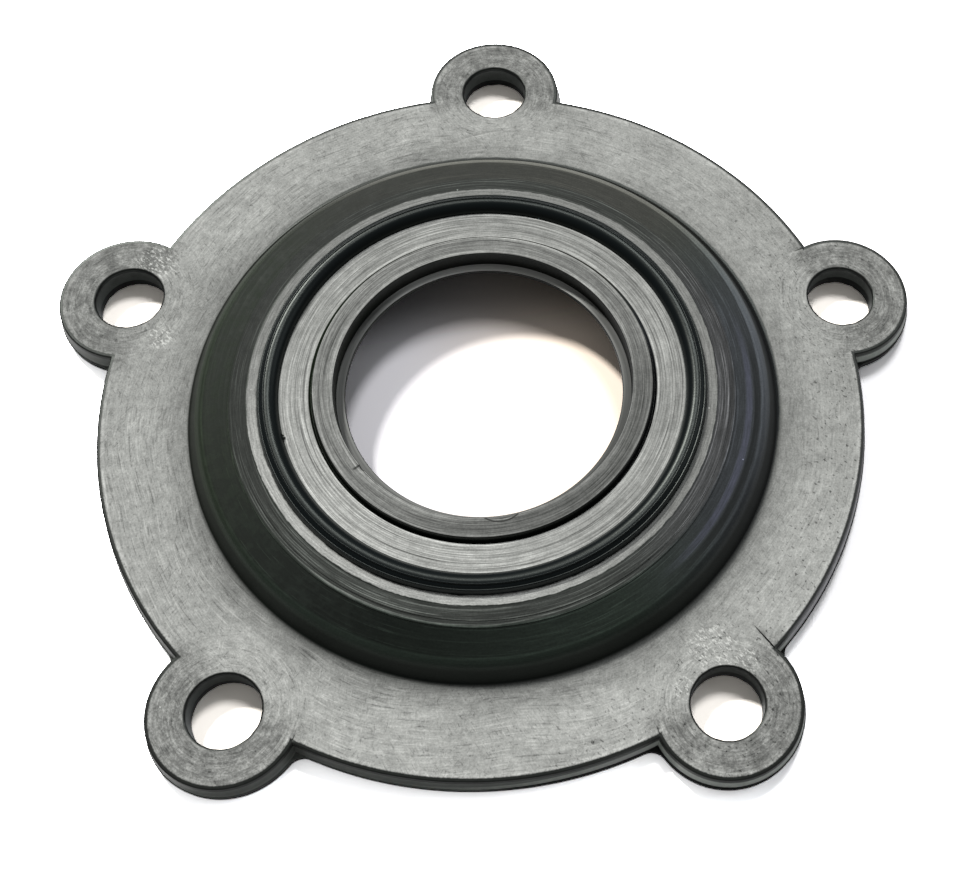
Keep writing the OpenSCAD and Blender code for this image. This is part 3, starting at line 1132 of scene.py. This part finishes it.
def colour(p):
    """The tones with the tint of each zone and side. The far side's tint is painted light, the
    near side's painted shade, and the right side's and the sheen arc's painted reflection.
    """
    t = p.t
    value = all_values(p)
    rim_share = t.smooth(p.r, 40.0, 42.0)
    grey_share = t.smooth(p.buffed, 0.0, 0.12)
    rgb = t.node("ShaderNodeCombineColor")
    for k in range(3):
        band = t.mixf(p.side("right"), BAND_TINT[k], BAND_PAINTED_REFLECTION_TINT[k])
        rim_tint = t.mixf(p.rim_right, RIM_TINT[k], RIM_PAINTED_LIGHT_TINT[k])
        tint = SKIN_TINT[k]
        for mask, layer in ((p.side("far"), PAINTED_LIGHT_FAR_TINT[k]), (p.side("near"), PAINTED_SHADE_NEAR_TINT[k]),
                            (p.side("right"), PAINTED_REFLECTION_RIGHT_TINT[k]), (p.sheen_arc, PAINTED_SHEEN_TINT[k]),
                            (p.bead, BEAD_TINT[k]), (p.band, band), (rim_share, rim_tint),
                            (grey_share, BUFFED_TINT[k])):
            tint = t.mixf(mask, tint, layer)
        t.put(rgb.inputs[k], t.mul(value, tint))
    return rgb.outputs[0]


def roughness(p):
    t = p.t
    lines = t.mul(t.sub(p.ring_lines, 0.5), 0.45)
    satin = t.add(0.62, t.add(lines, t.mul(t.sub(p.middle, 0.5), 0.30)))
    skin = t.mixf(p.bead, t.add(0.34, t.mul(t.sub(p.grain, 0.5), 0.15)), 0.30)
    dull_slope = t.mul(p.slope, t.less(p.side("near_gloss"), 0.85))
    skin = t.mixf(t.maximum(dull_slope, p.band), skin, satin)
    return t.mixf(p.buffed, skin, t.add(0.72, t.mul(t.sub(p.ring_stroke, 0.5), 0.25)))


def relief(p):
    """Fine relief: strokes and grain on the buffed faces, lines and waves on the skin."""
    t = p.t
    fine = t.add(t.mul(p.grain, 0.45), t.mul(p.short, 0.35))
    buffed = t.mul(t.add(t.mul(p.ring_stroke, 0.55), fine), 0.9)
    waves = t.add(t.mul(p.grain, 0.35), t.mul(p.middle, 0.9))
    skin = t.mul(t.add(t.mul(p.ring_lines, 0.5), waves), 0.40)
    bump = t.node("ShaderNodeBump")
    bump.inputs["Strength"].default_value = 1.0
    bump.inputs["Distance"].default_value = BUMP_DEPTH * MM
    t.put(bump.inputs["Height"], t.mixf(p.buffed, skin, buffed))
    return bump.outputs[0]


def rubber_material():
    p = Place("black_rubber_moulded")
    make_noises(p)
    find_zones(p)
    t, sockets = p.t, p.bsdf.inputs
    t.put(sockets["Base Color"], colour(p))
    t.put(sockets["Roughness"], roughness(p))
    t.put(sockets["Normal"], relief(p))
    sockets["IOR"].default_value = 1.5
    sockets["Specular IOR Level"].default_value = SPECULAR
    sockets["Specular Tint"].default_value = (*GLOSS_TINT, 1.0)
    return p.material


# What the camera sees of the floor: through the centre hole, through a bolt hole, and outside.
# Through the centre hole its colours tint the shadows, cool on the left and warm on the right, and
# it is darker toward the far side as painted shadow.
FLOOR_CENTRE_LEFT = (1.27, 1.24, 1.28)
FLOOR_CENTRE_RIGHT = (1.60, 1.38, 1.17)
FLOOR_PAINTED_SHADOW_SHARE = 0.42
FLOOR_BOLT = (2.5, 2.36, 2.18)
FLOOR_OUTSIDE = (9.0, 9.0, 9.1)
FLOOR_RIGHT = (2.28, 2.25, 2.25)
# What it gives to other light, and what shows where the part mirrors it
FLOOR_DIFFUSE = 0.82
FLOOR_MIRRORED = 1.05
# Where those colours start and are full, in metres
CENTRE_RIGHT_X = (-0.014, 0.014)
CENTRE_PAINTED_SHADOW_Y = (0.009, 0.019)
CENTRE_PAINTED_SHADOW_LEAN = -0.15
RIGHT_X = (0.020, 0.045)
RIGHT_R = (0.12, 0.08)
OUTSIDE_R = (0.036, 0.038)
BOLT_D = (0.0075, 0.0070)

FLOOR_HALF = 1.2
FLOOR_DROP = 0.00002


def grey(v):
    return (v, v, v)


def floor_material():
    m, t, bsdf = new_material("pale_floor")
    out = m.node_tree.nodes["Material Output"]
    m.node_tree.nodes.remove(bsdf)
    coord = t.node("ShaderNodeTexCoord")
    x, y, _ = t.split(coord.outputs["Object"])
    r = t.length(x, y)
    hole_d = lobe_place(t, t.math("ARCTAN2", y, x), r, BOLT_CIRCLE_R * MM)[3]
    centre = t.mix(t.smooth(x, *CENTRE_RIGHT_X), FLOOR_CENTRE_LEFT, FLOOR_CENTRE_RIGHT)
    # painted shadow: darker toward the far side of the centre hole
    far = t.smooth(t.add(y, t.mul(x, CENTRE_PAINTED_SHADOW_LEAN)), *CENTRE_PAINTED_SHADOW_Y)
    centre = t.mix(far, centre, grey(FLOOR_PAINTED_SHADOW_SHARE), "MULTIPLY")
    beside = t.mul(t.smooth(x, *RIGHT_X), t.smooth(r, *RIGHT_R))
    outside = t.mix(beside, FLOOR_OUTSIDE, FLOOR_RIGHT)
    seen = t.mix(t.smooth(r, *OUTSIDE_R), centre, outside)
    seen = t.mix(t.smooth(hole_d, *BOLT_D), seen, FLOOR_BOLT)
    path = t.node("ShaderNodeLightPath")
    mirrored = t.maximum(path.outputs["Is Glossy Ray"], path.outputs["Is Transmission Ray"])
    colour = t.mix(mirrored, grey(FLOOR_DIFFUSE), grey(FLOOR_MIRRORED))
    colour = t.mix(path.outputs["Is Camera Ray"], colour, seen)
    diffuse = t.node("ShaderNodeBsdfDiffuse")
    t.put(diffuse.inputs["Color"], colour)
    t.put(out.inputs["Surface"], diffuse.outputs[0])
    return m


body = make_body()
body.data.materials.append(rubber_material())
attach(body, "root")
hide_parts("gasket")


def make_floor():
    s = FLOOR_HALF
    me = bpy.data.meshes.new("floor")
    me.from_pydata([(-s, -s, 0), (s, -s, 0), (s, s, 0), (-s, s, 0)], [], [(0, 1, 2, 3)])
    me.materials.append(floor_material())
    ob = new_object("floor", me)
    ob.location = (0, 0, -FLOOR_DROP)


make_floor()

# Soft lights: name, azimuth, elevation, distance and size in metres, the radiance that each
# gives a level white surface, and colour
LIGHTS = [
    ("key_back_left", 122.0, 46.7, 2.4, 0.29, 0.63, (1.0, 0.99, 0.97)),
    ("fill_back", 80.0, 58.8, 2.4, 0.58, 0.29, (0.97, 0.98, 1.0)),
    ("sheen_right", 20.0, 38.0, 1.2, 0.70, 0.05, (0.90, 0.95, 1.0)),
]
# Watts of a disk light that give a white surface facing it the radiance 1 from a metre away
WATTS = math.pi ** 2
WORLD_LEVEL = 0.15


def soft_light(name, azimuth, elevation, distance, size, level, colour):
    a, e = azimuth * DEG, elevation * DEG
    d = Vector((math.cos(a) * math.cos(e), math.sin(a) * math.cos(e), math.sin(e)))
    data = bpy.data.lights.new(name, "AREA")
    data.shape = "DISK"
    data.size = size
    data.energy = level / math.sin(e) * WATTS * distance ** 2
    data.color = colour
    ob = new_object(name, data)
    ob.location = d * distance
    ob.rotation_euler = d.to_track_quat("Z", "Y").to_euler()


def make_world():
    """A dim white studio, which the camera sees as white."""
    world = bpy.data.worlds.new("studio")
    bpy.context.scene.world = world
    world.use_nodes = True
    t = Tree(world.node_tree)
    background = world.node_tree.nodes["Background"]
    path = t.node("ShaderNodeLightPath")
    background.inputs["Color"].default_value = (1.0, 1.0, 1.0, 1.0)
    strength = t.mixf(path.outputs["Is Camera Ray"], WORLD_LEVEL, 1.0)
    t.put(background.inputs["Strength"], strength)


for light in LIGHTS:
    soft_light(*light)
make_world()

# The camera, as fitted to the photo
PHOTO_WIDTH_PX = 978
FOCAL_PX = 1500.0
PRINCIPAL_PX = (160.0, -55.0)  # from the middle of the picture, right and down
ELEVATION = 62.129  # degrees above the flange
ROLL = -4.664  # degrees about the line of sight
TURN = -5.636  # degrees about the axis of the part
DISTANCE = 198.0785  # along the line of sight, to the top of the flange on the axis
OFFSET = (-21.2787, -3.8716)  # of that point from the line of sight, right and up
SENSOR_WIDTH = 36.0
CLIP = (0.01, 20.0)  # metres


def make_camera():
    el, roll = ELEVATION * DEG, ROLL * DEG
    right = np.array([1.0, 0.0, 0.0])
    up = np.array([0.0, math.sin(el), math.cos(el)])
    ahead = np.array([0.0, math.cos(el), -math.sin(el)])
    place = -OFFSET[0] * right - OFFSET[1] * up - DISTANCE * ahead + np.array([0, 0, FLANGE_T])
    c, s = math.cos(roll), math.sin(roll)
    axes = Matrix((right * c - up * s, right * s + up * c, -ahead)).transposed()
    turn = Matrix.Rotation(TURN * DEG, 3, "Z")
    pose = (turn @ axes).to_4x4()
    pose.translation = turn @ Vector(place * MM)
    cam = bpy.data.cameras.new("camera")
    cam.sensor_width = SENSOR_WIDTH
    cam.lens = FOCAL_PX * cam.sensor_width / PHOTO_WIDTH_PX
    cam.shift_x = -PRINCIPAL_PX[0] / PHOTO_WIDTH_PX
    cam.shift_y = PRINCIPAL_PX[1] / PHOTO_WIDTH_PX
    cam.clip_start, cam.clip_end = CLIP
    ob = new_object("camera", cam)
    ob.matrix_world = pose
    bpy.context.scene.camera = ob


make_camera()
bpy.context.scene.view_settings.view_transform = "Standard"
